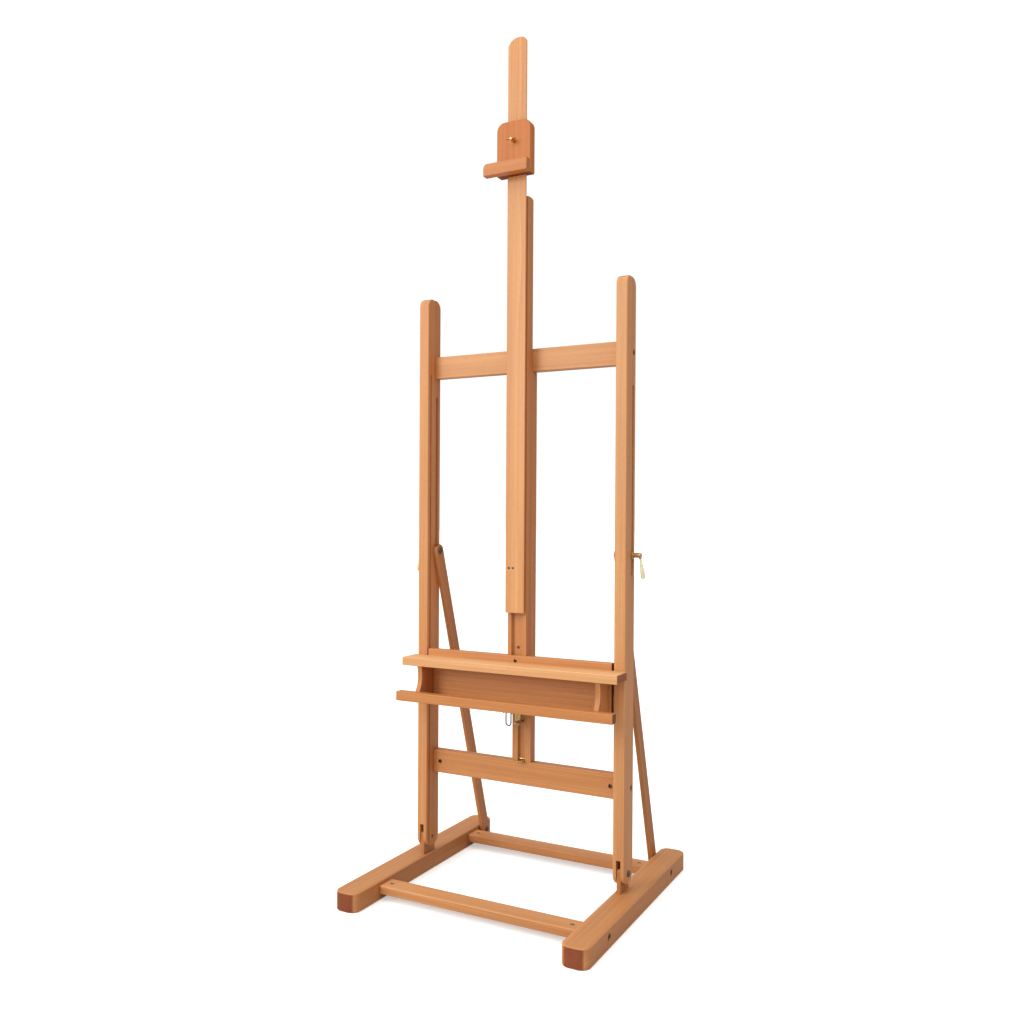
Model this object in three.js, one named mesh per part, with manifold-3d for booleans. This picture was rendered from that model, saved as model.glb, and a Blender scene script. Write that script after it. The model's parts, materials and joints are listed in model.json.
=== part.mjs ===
// Studio H-frame easel. Millimetres, +Z up, front towards -Y, +X to the viewer's right.
// The origin is on the floor, in the middle of the base.
import * as THREE from "three";
import { mergeVertices } from "three/addons/utils/BufferGeometryUtils.js";
import Module from "manifold-3d";

// ---------------------------------------------------------------- driving dimensions
const BASE = { width: 620, depth: 630 };
const RUNNER = { wide: 62, high: 43, endRadius: 22 };
const CROSSBAR = { deep: 48, thick: 20, bottom: 15, y: 200, nutInset: 20 };
const TONGUE = { thick: 10, deep: 50, bottom: 13, pivotZ: 83, top: 99, radius: 8 };
const POST = {
  x: 261, wide: 27, deep: 56, bottom: 60, top: 1426, topRadius: 20, footRadius: 26,
  slotY: 12, slotWide: 9, slotBottom: 752, slotTop: 1184,
  grooveY: -16, grooveWide: 5, grooveDeep: 4, grooveTop: 1236, forkTop: 118, forkWide: 10.6,
};
const RAIL = { front: 4, thick: 24, lower: [244, 301], upper: [1230, 1284], nutInset: 19 };
const STILE = { wide: 50, channelWide: 19, channelDeep: 8.4 };
const COLUMN = {
  wide: 49.5, front: -22.5, back: 3.7, bottom: 420, top: 1638, channelWide: 29, channelDeep: 9,
  ribWide: 18.4, ribBack: 11.8, topRadius: 10,
};
const MAST = {
  wide: 49, front: -36, edge: 3.5, back: -22.8, backWide: 33, tongueWide: 28.2, tongueBack: -13.9,
  bottom: 659, top: 2007, leftRadius: 26, rightRadius: 19,
};
const STRUT = { thick: 11, wide: 32, gap: 0.3, top: [12, 800], foot: [258, 27] };
const TRAY = {
  length: 560, ledgeFront: -90, ledge: [522.5, 542.7], boardHalf: 243, board: [-30, -10],
  bottom: 440.5, boardTop: 558, floor: 8, lipFront: -116, lipBack: -94, lipTop: 463,
  cheekInner: 226.5, cheekOuter: 238.5,
};
const HOLDER = {
  left: -46, right: 42, front: -50, back: -25.5, bottom: 1683, top: 1808, radius: 20,
  lipLeft: -73, lipFront: -68, lipTop: 1712, lipRadius: 10, screwZ: 1760,
};
const BOLT = { radius: 4, bore: 4.25, pivotBore: 4.06 };
// Facets round a plain hole or bar, and round a pivot and its bore.
const PLAIN = 14;
const RUNNING = 32;

// ---------------------------------------------------------------- materials
const matter = (color, roughness, metalness) =>
  new THREE.MeshStandardMaterial({ color, roughness, metalness });
const BEECH = matter(0xc98a5a, 0.55, 0);
const BEECH_DARK = matter(0xb5764a, 0.6, 0);
const BRASS = matter(0xb8965a, 0.35, 1);
const STEEL = matter(0x6f6658, 0.4, 1);
const HORN = matter(0xe6dcb4, 0.4, 0);

// ---------------------------------------------------------------- shapes
const wasm = await Module();
wasm.setup();

// A closed geometry as a solid that can be joined and cut.
function solid(geometry) {
  const g = geometry.clone();
  g.deleteAttribute("normal");
  g.deleteAttribute("uv");
  const merged = mergeVertices(g, 1e-4);
  return new wasm.Manifold(
    new wasm.Mesh({
      numProp: 3,
      vertProperties: merged.attributes.position.array,
      triVerts: new Uint32Array(merged.index.array),
    }),
  );
}

function geometryOf(made) {
  const mesh = made.getMesh();
  const g = new THREE.BufferGeometry();
  g.setAttribute("position", new THREE.BufferAttribute(mesh.vertProperties, 3));
  g.setIndex(new THREE.BufferAttribute(mesh.triVerts, 1));
  const flat = g.toNonIndexed();
  flat.computeVertexNormals();
  return flat;
}

function box(x0, x1, y0, y1, z0, z1) {
  const g = new THREE.BoxGeometry(x1 - x0, y1 - y0, z1 - z0);
  return solid(g.translate((x0 + x1) / 2, (y0 + y1) / 2, (z0 + z1) / 2));
}

// A shape drawn on two axes and drawn out along the third from a to b.
const OUTLINE_AXES = {
  x: new THREE.Matrix4().makeBasis(
    new THREE.Vector3(0, 1, 0), new THREE.Vector3(0, 0, 1), new THREE.Vector3(1, 0, 0)),
  y: new THREE.Matrix4().makeBasis(
    new THREE.Vector3(0, 0, 1), new THREE.Vector3(1, 0, 0), new THREE.Vector3(0, 1, 0)),
  z: new THREE.Matrix4(),
};
function prism(axis, shape, a, b) {
  const g = new THREE.ExtrudeGeometry(shape, { depth: b - a, bevelEnabled: false, curveSegments: 6 });
  return solid(g.translate(0, 0, a).applyMatrix4(OUTLINE_AXES[axis]));
}

const polygon = (points) => new THREE.Shape(points.map(([u, v]) => new THREE.Vector2(u, v)));

// A rectangle with its own radius at each corner: low-low, high-low, high-high, low-high.
function rounded(u0, u1, v0, v1, [a, b, c, d]) {
  const s = new THREE.Shape();
  const turn = (cu, cv, r, from) => {
    if (r > 0) s.absarc(cu, cv, r, from, from + Math.PI / 2, false);
    else s.lineTo(cu, cv);
  };
  s.moveTo(u0 + a, v0);
  turn(u1 - b, v0 + b, b, -Math.PI / 2);
  turn(u1 - c, v1 - c, c, 0);
  turn(u0 + d, v1 - d, d, Math.PI / 2);
  turn(u0 + a, v0 + a, a, Math.PI);
  return s;
}

// A round bar along an axis, at (p, q) on the other two axes in x, y, z order.
function rod(axis, p, q, radius, a, b, segments = PLAIN) {
  const g = new THREE.CylinderGeometry(radius, radius, b - a, segments);
  if (axis === "x") g.rotateZ(-Math.PI / 2).translate((a + b) / 2, p, q);
  else if (axis === "y") g.translate(p, (a + b) / 2, q);
  else g.rotateX(Math.PI / 2).translate(p, q, (a + b) / 2);
  return solid(g);
}

// A turned piece from [distance along the axis, radius] pairs, running along +X from start.
function turnedX(start, y, z, profile, side = 1, segments = PLAIN) {
  const g = new THREE.LatheGeometry(
    profile.map(([along, r]) => new THREE.Vector2(r, along)), segments);
  g.rotateZ(-Math.PI / 2);
  if (side < 0) g.rotateY(Math.PI);
  return solid(g.translate(start, y, z));
}
function turnedY(x, start, z, profile, segments = PLAIN) {
  const g = new THREE.LatheGeometry(
    profile.map(([along, r]) => new THREE.Vector2(r, along)), segments);
  return solid(g.translate(x, start, z));
}

const easel = new THREE.Group();
easel.name = "studio_easel";
function group(name) {
  const g = new THREE.Group();
  g.name = name;
  easel.add(g);
  return g;
}
function put(parent, name, made, material) {
  const mesh = new THREE.Mesh(geometryOf(made), material);
  mesh.name = name;
  parent.add(mesh);
}
const SIDES = [["left", -1], ["right", 1]];
// The span from inner to outer distance from the middle, on the given side.
const span = (side, inner, outer) => (side < 0 ? [-outer, -inner] : [inner, outer]);

// ---------------------------------------------------------------- base
const base = group("base");
const runnerInner = BASE.width / 2 - RUNNER.wide;
const runnerOuter = BASE.width / 2;
const barMiddle = CROSSBAR.bottom + CROSSBAR.thick / 2;
const nutX = runnerInner - CROSSBAR.nutInset;

for (const [name, side] of SIDES) {
  const [x0, x1] = span(side, runnerInner, runnerOuter);
  const r = RUNNER.endRadius;
  let runner = prism("z", rounded(x0, x1, -BASE.depth / 2, BASE.depth / 2, [r, r, r, r]), 0, RUNNER.high);
  const mortise = [side * POST.x - TONGUE.thick / 2, side * POST.x + TONGUE.thick / 2];
  runner = runner.subtract(
    box(...mortise, -TONGUE.deep / 2, TONGUE.deep / 2, TONGUE.bottom, RUNNER.high + 1));
  for (const y of [-CROSSBAR.y, CROSSBAR.y]) {
    runner = runner
      .subtract(rod("x", y, barMiddle, BOLT.bore, ...span(side, runnerInner - 1, runnerOuter + 1)))
      .subtract(rod("x", y, barMiddle, 8, ...span(side, runnerOuter - 6, runnerOuter + 1)));
  }
  runner = runner.subtract(rod("x", ...STRUT.foot, BOLT.bore, ...span(side, runnerInner - 1, runnerInner + 35)));
  put(base, `runner_${name}`, runner, BEECH);

  // The tongue that carries the post, let into the runner and rounded at the top.
  const half = TONGUE.deep / 2;
  const outline = rounded(-half, half, TONGUE.bottom, TONGUE.top,
    [0, 0, TONGUE.radius, TONGUE.radius]);
  const tongue = prism("x", outline, ...mortise)
    .subtract(rod("x", 0, TONGUE.pivotZ, BOLT.bore, mortise[0] - 1, mortise[1] + 1));
  put(base, `tongue_${name}`, tongue, BEECH_DARK);
}

for (const [place, sign] of [["front", -1], ["rear", 1]]) {
  const y = sign * CROSSBAR.y;
  const half = CROSSBAR.deep / 2;
  let bar = box(-runnerInner, runnerInner, y - half, y + half, CROSSBAR.bottom, CROSSBAR.bottom + CROSSBAR.thick);
  for (const [, side] of SIDES) {
    bar = bar
      .subtract(rod("x", y, barMiddle, BOLT.bore, ...span(side, nutX - 8, runnerInner + 1)))
      .subtract(rod("z", side * nutX, y, 5.25, 0, 60));
  }
  put(base, `crossbar_${place}`, bar, BEECH);
  for (const [name, side] of SIDES) {
    // Bolt head sunk in the runner's outer face, with a socket in it.
    const bolt = turnedX(side * (runnerOuter - 5.7), y, barMiddle,
      [[-71, 0], [-71, BOLT.radius], [0, BOLT.radius], [0, 7], [3, 7], [4.2, 5.8], [4.2, 2.6],
        [1.6, 2.6], [1.6, 0]], side);
    put(base, `crossbar_bolt_${place}_${name}`, bolt, STEEL);
    const nut = rod("z", side * nutX, y, 5, CROSSBAR.bottom + 1, CROSSBAR.bottom + CROSSBAR.thick - 1)
      .subtract(rod("x", y, barMiddle, BOLT.bore, ...span(side, nutX - 8, nutX + 8)))
      .subtract(box(side * nutX - 4, side * nutX + 4, y - 0.6, y + 0.6,
        CROSSBAR.bottom + CROSSBAR.thick - 2.2, 60));
    put(base, `crossbar_nut_${place}_${name}`, nut, STEEL);
  }
}

const postInner = POST.x - POST.wide / 2;
const postOuter = POST.x + POST.wide / 2;
for (const [name, side] of SIDES) {
  // Pivot bolt of the post, fast in the tongue: a low round head outside, flush inside.
  const pivot = turnedX(side * postOuter, 0, TONGUE.pivotZ,
    [[-26, 0], [-26, BOLT.radius], [0.3, BOLT.radius], [0.3, 7.5], [1.6, 7.5], [3.2, 6], [4, 3],
      [4, 2.4], [2.2, 2.4], [2.2, 0]], side, RUNNING);
  put(base, `post_pivot_bolt_${name}`, pivot, STEEL);
  // Foot bolt of the strut, fast in the runner.
  const foot = turnedX(side * (postInner - STRUT.gap - STRUT.thick), ...STRUT.foot,
    [[-4.3, 0], [-4.3, 3], [-3.6, 5.6], [-1.9, 7.5], [-0.3, 7.5], [-0.3, BOLT.radius],
      [44, BOLT.radius], [44, 0]], side, RUNNING);
  put(base, `strut_foot_bolt_${name}`, foot, STEEL);
}

// ---------------------------------------------------------------- frame
const frame = group("frame");
const halfDeep = POST.deep / 2;
const railBack = RAIL.front + RAIL.thick;
const railMiddle = RAIL.front + RAIL.thick / 2;
const railNutX = postInner - RAIL.nutInset;
const lowerMiddle = (RAIL.lower[0] + RAIL.lower[1]) / 2;
const upperMiddle = (RAIL.upper[0] + RAIL.upper[1]) / 2;

for (const [name, side] of SIDES) {
  const outline = rounded(-halfDeep, halfDeep, POST.bottom, POST.top,
    [POST.footRadius, POST.footRadius, POST.topRadius, POST.topRadius]);
  const r = POST.slotWide / 2;
  let post = prism("x", outline, ...span(side, postInner, postOuter));
  const slot = rounded(POST.slotY - r, POST.slotY + r, POST.slotBottom, POST.slotTop, [r, r, r, r]);
  post = post
    .subtract(prism("x", slot, ...span(side, postInner - 1, postOuter + 1)))
    .subtract(box(...span(side, postInner - 1, postInner + POST.grooveDeep),
      POST.grooveY - POST.grooveWide / 2, POST.grooveY + POST.grooveWide / 2, 0, POST.grooveTop))
    .subtract(box(side * POST.x - POST.forkWide / 2, side * POST.x + POST.forkWide / 2,
      -halfDeep - 1, halfDeep + 1, 0, POST.forkTop))
    .subtract(rod("x", 0, TONGUE.pivotZ, BOLT.pivotBore,
      ...span(side, postInner - 1, postOuter + 1), RUNNING));
  for (const z of [lowerMiddle, upperMiddle]) {
    post = post
      .subtract(rod("x", railMiddle, z, BOLT.bore, ...span(side, postInner - 1, postOuter + 1)))
      .subtract(rod("x", railMiddle, z, 7, ...span(side, postOuter - 5, postOuter + 1)));
  }
  put(frame, `post_${name}`, post, BEECH);
}

for (const [place, [z0, z1]] of [["lower", RAIL.lower], ["upper", RAIL.upper]]) {
  const middle = (z0 + z1) / 2;
  let rail = box(-postInner, postInner, RAIL.front, railBack, z0, z1);
  if (place === "upper") {
    rail = rail.subtract(box(-STILE.channelWide / 2, STILE.channelWide / 2,
      RAIL.front - 1, RAIL.front + STILE.channelDeep, z0 - 1, z1 + 1));
  }
  for (const [name, side] of SIDES) {
    rail = rail.subtract(
      rod("x", railMiddle, middle, BOLT.bore, ...span(side, railNutX - 8, postInner + 1)));
    const bolt = turnedX(side * (postOuter - 4.7), railMiddle, middle,
      [[-48, 0], [-48, BOLT.radius], [0, BOLT.radius], [0, 6.4], [2.4, 6.4], [3.4, 5.4], [3.4, 2.4],
        [1.2, 2.4], [1.2, 0]], side);
    put(frame, `${place}_rail_bolt_${name}`, bolt, STEEL);
    // The lower rail's bolts screw into cross nuts; the upper rail's screw into its end grain.
    if (place === "upper") continue;
    rail = rail.subtract(rod("y", side * railNutX, middle, 5.25, RAIL.front - 1, railBack + 1));
    const nut = rod("y", side * railNutX, middle, 5, railMiddle - 6.8, railMiddle + 9)
      .subtract(rod("x", railMiddle, middle, BOLT.bore, ...span(side, railNutX - 8, railNutX + 8)));
    put(frame, `${place}_rail_nut_${name}`, nut, STEEL);
  }
  put(frame, `${place}_rail`, rail, BEECH);
}

const stile = box(-STILE.wide / 2, STILE.wide / 2, RAIL.front, railBack, RAIL.lower[1], RAIL.upper[0])
  .subtract(box(-STILE.channelWide / 2, STILE.channelWide / 2, RAIL.front - 1,
    RAIL.front + STILE.channelDeep, RAIL.lower[1] - 1, RAIL.upper[0] + 1));
put(frame, "centre_stile", stile, BEECH);

// Brass angle standing in the channel on the lower rail: the column's lowest stop.
const stop = box(-9, 9, -8, 12, RAIL.lower[1] + 0.2, RAIL.lower[1] + 3)
  .add(box(-9, 9, 9.6, 12, RAIL.lower[1] + 2, RAIL.lower[1] + 7));
put(frame, "column_stop_angle", stop, BRASS);

// ---------------------------------------------------------------- struts and their clamps
const strutOuter = postInner - STRUT.gap;
const strutInner = strutOuter - STRUT.thick;
const lean = Math.atan2(STRUT.foot[0] - STRUT.top[0], STRUT.top[1] - STRUT.foot[1]);
const strutLength = Math.hypot(STRUT.foot[0] - STRUT.top[0], STRUT.top[1] - STRUT.foot[1]);
for (const [name, side] of SIDES) {
  const strutGroup = group(`strut_group_${name}`);
  const [x0, x1] = span(side, strutInner, strutOuter);
  const r = STRUT.wide / 2;
  // Drawn upright on its foot pivot, then leant forwards to the slot.
  const upright = prism("x", rounded(-r, r, -r, strutLength + r, [r, r, r, r]), x0, x1)
    .subtract(rod("x", 0, 0, BOLT.pivotBore, x0 - 1, x1 + 1, RUNNING))
    .subtract(rod("x", 0, strutLength, BOLT.bore, x0 - 1, x1 + 1));
  const strut = upright.rotate([(lean * 180) / Math.PI, 0, 0]).translate([0, ...STRUT.foot]);
  put(strutGroup, `strut_${name}`, strut, BEECH_DARK);
  const head = turnedX(side * strutInner, ...STRUT.top,
    [[-5.3, 0], [-5.3, 3], [-4.2, 6], [-2, 8.5], [-0.3, 9], [-0.3, BOLT.radius],
      [STRUT.thick - 0.1, BOLT.radius], [STRUT.thick - 0.1, 0]], side);
  put(strutGroup, `strut_head_bolt_${name}`, head, STEEL);

  const clamp = group(`clamp_group_${name}`);
  const shank = turnedX(side * postInner, ...STRUT.top,
    [[0.2, 0], [0.2, BOLT.radius], [POST.wide + 12, BOLT.radius], [POST.wide + 12, 0]],
    side, RUNNING);
  put(clamp, `clamp_shank_${name}`, shank, STEEL);
  // Clamping lever: washer face and barrel on the shank, and a horn-coloured arm hanging down.
  const nut = turnedX(side * postOuter, ...STRUT.top,
    [[0.3, 0], [0.3, 8.5], [1.8, 8.5], [1.8, 5.5], [20, 5.5], [22, 4.6], [22, 0]], side)
    .subtract(rod("x", ...STRUT.top, BOLT.pivotBore,
      ...span(side, postOuter - 1, postOuter + 12.6), RUNNING));
  put(clamp, `clamp_nut_${name}`, nut, BRASS);
  const arm = new THREE.LatheGeometry(
    [[-52, 0], [-52, 4.2], [-50.5, 4.8], [-34, 4.6], [-15, 3], [-9, 2.4], [-5.9, 2.2], [-5.9, 0]]
      .map(([z, radius]) => new THREE.Vector2(radius, z)), PLAIN);
  arm.rotateX(Math.PI / 2).rotateY(-side * 0.16).translate(side * (postOuter + 18.5), ...STRUT.top);
  const handle = solid(arm)
    .subtract(rod("x", ...STRUT.top, 5.8, ...span(side, postOuter - 5, postOuter + 40)));
  put(clamp, `clamp_lever_${name}`, handle, HORN);
}

// ---------------------------------------------------------------- column
const columnGroup = group("column_group");
const cw = COLUMN.wide / 2;
const ch = COLUMN.channelWide / 2;
const floorY = COLUMN.front + COLUMN.channelDeep;
const rib = COLUMN.ribWide / 2;
const columnOutline = polygon([
  [-cw, COLUMN.front], [-ch, COLUMN.front], [-ch, floorY], [ch, floorY], [ch, COLUMN.front],
  [cw, COLUMN.front], [cw, COLUMN.back], [rib, COLUMN.back], [rib, COLUMN.ribBack],
  [-rib, COLUMN.ribBack], [-rib, COLUMN.back], [-cw, COLUMN.back],
]);
const columnSide = rounded(COLUMN.front - 1, COLUMN.ribBack, COLUMN.bottom, COLUMN.top,
  [0, 0, COLUMN.topRadius + 8, 0]);
let column = prism("z", columnOutline, COLUMN.bottom, COLUMN.top)
  .intersect(prism("x", columnSide, -60, 60));
const STOP_SCREW_Z = 576.5;
column = column.subtract(rod("y", 0, STOP_SCREW_Z, 1.7, floorY - 1, floorY + 14));
put(columnGroup, "column", column, BEECH);
const stopScrew = turnedY(0, floorY, STOP_SCREW_Z,
  [[-1.6, 0], [-1.6, 1.4], [-0.9, 3.2], [-0.2, 3.6], [-0.2, 1.4], [12, 1.4], [12, 0]]);
put(columnGroup, "column_floor_screw", stopScrew, STEEL);

// Brass plate on the channel floor, tapering to an ear under the column for the thumb screw.
const KNOB_Z = 397;
const plateShape = polygon([
  [470, -8], [470, 8], [418, 8], [392, 5], [390, 3], [390, -3], [392, -5], [418, -8]]);
const plate = prism("y", plateShape, floorY - 2.2, floorY - 0.2)
  .subtract(rod("y", 0, KNOB_Z, 2.6, floorY - 4, floorY + 2));
put(columnGroup, "column_latch_plate", plate, BRASS);
const knob = turnedY(0, floorY, KNOB_Z,
  [[-14, 0], [-13.6, 2.6], [-11.5, 5], [-8.5, 5.8], [-5.6, 4.8], [-4, 3], [-2.6, 3], [-2.6, 2.4],
    [25.2, 2.4], [25.6, 1.8], [25.6, 0]]);
put(columnGroup, "column_latch_knob", knob, BRASS);

// ---------------------------------------------------------------- mast
const mastGroup = group("mast_group");
const mw = MAST.wide / 2;
const mastOutline = polygon([
  [-mw, MAST.front], [mw, MAST.front], [mw, MAST.front + MAST.edge], [MAST.backWide / 2, MAST.back],
  [MAST.tongueWide / 2, MAST.back], [MAST.tongueWide / 2, MAST.tongueBack],
  [-MAST.tongueWide / 2, MAST.tongueBack], [-MAST.tongueWide / 2, MAST.back],
  [-MAST.backWide / 2, MAST.back], [-mw, MAST.front + MAST.edge],
]);
// Drawn as (z, x), so the top corners are the two at the high end of z.
const mastFace = rounded(MAST.bottom, MAST.top, -mw - 1, mw + 1,
  [0, MAST.leftRadius, MAST.rightRadius, 0]);
let mast = prism("z", mastOutline, MAST.bottom, MAST.top)
  .intersect(prism("y", mastFace, MAST.front - 1, MAST.tongueBack + 1));
const MAST_SCREWS = [["left", -15.2], ["right", -4.5]];
const MAST_SCREW_Z = 765;
for (const [, x] of MAST_SCREWS) {
  mast = mast
    .subtract(rod("y", x, MAST_SCREW_Z, 3.4, MAST.front - 1, MAST.front + 1.6))
    .subtract(rod("y", x, MAST_SCREW_Z, 1.7, MAST.front, MAST.front + 11.4));
}
put(mastGroup, "mast", mast, BEECH);
for (const [name, x] of MAST_SCREWS) {
  const screw = turnedY(x, MAST.front, MAST_SCREW_Z,
    [[0.4, 0], [0.4, 2.9], [1.2, 3], [1.2, 1.4], [11, 1.4], [11, 0]]);
  put(mastGroup, `mast_screw_${name}`, screw, STEEL);
}

// ---------------------------------------------------------------- tray
const tray = group("tray");
const half = TRAY.length / 2;
put(tray, "canvas_ledge",
  box(-half, half, TRAY.ledgeFront, TRAY.board[0], ...TRAY.ledge), BEECH);

// Board between the posts: a housing at the back rides on the column, ribs at the ends ride
// in the posts' grooves.
let board = box(-TRAY.boardHalf, TRAY.boardHalf, ...TRAY.board, TRAY.bottom, TRAY.boardTop)
  .subtract(box(-cw - 0.4, cw + 0.4, COLUMN.front - 0.4, 0, TRAY.bottom - 1, TRAY.boardTop + 1))
  .subtract(rod("y", 0, 546, 4.2, TRAY.board[0] - 1, TRAY.board[0] + 5));
for (const [, side] of SIDES) {
  board = board.add(box(...span(side, TRAY.boardHalf - 1, postInner + POST.grooveDeep - 0.8),
    POST.grooveY - POST.grooveWide / 2 + 0.4, POST.grooveY + POST.grooveWide / 2 - 0.4,
    TRAY.bottom, TRAY.bottom + 45));
}
put(tray, "slider_board", board, BEECH);
put(tray, "tray_floor",
  box(-TRAY.cheekOuter, TRAY.cheekOuter, TRAY.lipBack, TRAY.board[0], TRAY.bottom,
    TRAY.bottom + TRAY.floor), BEECH_DARK);
put(tray, "tray_lip", box(-half, half, TRAY.lipFront, TRAY.lipBack, TRAY.bottom, TRAY.lipTop), BEECH);
const cheek = new THREE.Shape();
cheek.moveTo(TRAY.lipBack, TRAY.bottom + TRAY.floor);
cheek.lineTo(TRAY.board[0], TRAY.bottom + TRAY.floor);
cheek.lineTo(TRAY.board[0], TRAY.ledge[0]);
cheek.lineTo(-86, TRAY.ledge[0]);
cheek.quadraticCurveTo(-76, 488, TRAY.lipBack, TRAY.lipTop);
for (const [name, side] of SIDES) {
  put(tray, `tray_cheek_${name}`,
    prism("x", cheek, ...span(side, TRAY.cheekInner, TRAY.cheekOuter)), BEECH_DARK);
}
const lockScrew = turnedY(0, TRAY.board[0], 546,
  [[1.6, 0], [1.6, 2.2], [3.2, 2.2], [3.2, 0.9], [3.8, 0.9], [3.8, 0]].map(([a, r]) => [a, r * 1.7]));
put(tray, "board_screw", lockScrew, STEEL);

// Wire bail under the tray, hanging by its turned-out ends in the ears of a brass bracket.
const BAIL = { y: -62, z: 433, half: 6.5, drop: 27, wire: 1.5, ear: 10 };
let bracket = box(-16, 16, BAIL.y - 9, BAIL.y + 9, TRAY.bottom - 2.2, TRAY.bottom - 0.2);
for (const side of [-1, 1]) {
  bracket = bracket
    .add(box(...span(side, BAIL.ear, BAIL.ear + 2), BAIL.y - 5, BAIL.y + 5, BAIL.z - 5, TRAY.bottom - 1))
    .subtract(rod("x", BAIL.y, BAIL.z, BAIL.wire + 0.06, side * (BAIL.ear + 1) - 3,
      side * (BAIL.ear + 1) + 3, 16));
}
put(tray, "bail_bracket", bracket, BRASS);
const bend = (points) => points.map(([x, z]) => new THREE.Vector3(x, BAIL.y, BAIL.z + z));
const bailPath = new THREE.CurvePath();
const corner = 2.4;
const line = (a, b) => bailPath.add(new THREE.LineCurve3(...bend([a, b])));
const curve = (a, m, b) => bailPath.add(new THREE.QuadraticBezierCurve3(...bend([a, m, b])));
const arc = (cx, cz, r, from, to) => {
  const at = (k) => [cx + r * Math.cos(k), cz + r * Math.sin(k)];
  const step = (to - from) / 4;
  for (let i = 0; i < 4; i += 1) {
    const [k0, k1] = [from + i * step, from + (i + 1) * step];
    const m = (k0 + k1) / 2;
    const reach = r / Math.cos(step / 2);
    curve(at(k0), [cx + reach * Math.cos(m), cz + reach * Math.sin(m)], at(k1));
  }
};
line([-BAIL.ear - 3, 0], [-BAIL.half - corner, 0]);
curve([-BAIL.half - corner, 0], [-BAIL.half, 0], [-BAIL.half, -corner]);
line([-BAIL.half, -corner], [-BAIL.half, -BAIL.drop]);
arc(0, -BAIL.drop, BAIL.half, Math.PI, 2 * Math.PI);
line([BAIL.half, -BAIL.drop], [BAIL.half, -corner]);
curve([BAIL.half, -corner], [BAIL.half, 0], [BAIL.half + corner, 0]);
line([BAIL.half + corner, 0], [BAIL.ear + 3, 0]);
const wire = new THREE.Shape();
wire.absarc(0, 0, BAIL.wire, 0, 2 * Math.PI, false);
const bailGeometry = new THREE.ExtrudeGeometry(wire, {
  steps: 34, extrudePath: bailPath, bevelEnabled: false, curveSegments: 4 });
put(tray, "tray_bail", solid(bailGeometry), STEEL);

// ---------------------------------------------------------------- top holder
const holder = group("holder");
const clear = 0.35;
const mastHousing = polygon([
  [-mw - clear, MAST.front - clear], [mw + clear, MAST.front - clear],
  [mw + clear, MAST.front + MAST.edge + 0.1], [MAST.backWide / 2 + clear + 0.1, MAST.back + 0.1],
  [MAST.backWide / 2 + clear + 0.1, 0], [-MAST.backWide / 2 - clear - 0.1, 0],
  [-MAST.backWide / 2 - clear - 0.1, MAST.back + 0.1], [-mw - clear, MAST.front + MAST.edge + 0.1],
]);
const holderFace = rounded(HOLDER.bottom, HOLDER.top, HOLDER.left, HOLDER.right,
  [0, HOLDER.radius, HOLDER.radius, 0]);
const holderBlock = prism("y", holderFace, HOLDER.front, HOLDER.back)
  .subtract(prism("z", mastHousing, HOLDER.bottom - 1, HOLDER.top + 1))
  .subtract(rod("y", 0, HOLDER.screwZ, 3.3, HOLDER.front - 1, MAST.front));
put(holder, "top_holder_block", holderBlock, BEECH_DARK);
const lipFace = rounded(HOLDER.bottom, HOLDER.lipTop, HOLDER.lipLeft, HOLDER.right,
  [0, HOLDER.lipRadius, 0, 0]);
put(holder, "top_holder_lip", prism("y", lipFace, HOLDER.lipFront, HOLDER.front), BEECH);
const thumb = turnedY(0, HOLDER.front, HOLDER.screwZ,
  [[-18, 0], [-18, 2.6], [-17, 3.6], [-1.2, 4.4], [-0.4, 4.4], [-0.4, 3.2], [13.2, 3.2], [13.2, 0]])
  .add(prism("y", rounded(HOLDER.screwZ - 1.3, HOLDER.screwZ + 1.3, -13, 13, [1, 1, 1, 1]),
    HOLDER.front - 20, HOLDER.front - 11.5));
put(holder, "holder_thumb_screw", thumb, BRASS);

export default easel;
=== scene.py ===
"""Studio easel in oiled beech, with burnished steel bolts, brass fittings and horn-coloured clamp levers."""

import json
import math

import bmesh
import bpy
import numpy as np
from mathutils import Matrix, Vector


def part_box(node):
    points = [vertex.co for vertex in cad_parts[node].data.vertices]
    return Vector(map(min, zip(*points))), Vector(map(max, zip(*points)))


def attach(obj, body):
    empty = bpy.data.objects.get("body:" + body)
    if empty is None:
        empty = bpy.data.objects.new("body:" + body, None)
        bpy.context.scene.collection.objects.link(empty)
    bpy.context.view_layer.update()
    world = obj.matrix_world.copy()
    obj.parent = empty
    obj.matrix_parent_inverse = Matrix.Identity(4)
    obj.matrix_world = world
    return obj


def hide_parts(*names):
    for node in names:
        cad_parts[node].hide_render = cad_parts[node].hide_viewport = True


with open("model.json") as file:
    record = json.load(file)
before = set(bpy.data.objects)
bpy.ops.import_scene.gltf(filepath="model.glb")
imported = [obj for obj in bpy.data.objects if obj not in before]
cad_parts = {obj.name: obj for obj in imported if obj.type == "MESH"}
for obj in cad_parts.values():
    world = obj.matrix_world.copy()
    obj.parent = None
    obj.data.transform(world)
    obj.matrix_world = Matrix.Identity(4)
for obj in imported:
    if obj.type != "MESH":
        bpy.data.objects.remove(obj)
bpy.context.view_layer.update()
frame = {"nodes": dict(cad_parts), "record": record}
NODES = frame["nodes"]
BODY_OF = {n: body for body, names in frame["record"]["behaviour"]["bodies"].items() for n in names}
MM = 0.001
SIDES = (("left", -1), ("right", 1))
MERGE_WITHIN = 2e-5            # corners of the drawn solids nearer than this are one corner (m)
LEVEL_WITHIN = 8e-5            # a face this near the piece's furthest reach lies on its outside (m)
STILL_FLAT = math.radians(0.7) # facets that turn less than this are one face
ROUNDED_FROM = math.radians(24)  # an edge that turns more than this is an arris
SHARP_FROM = math.radians(42)  # an edge of a turned or bent piece that turns more than this stays sharp
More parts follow.
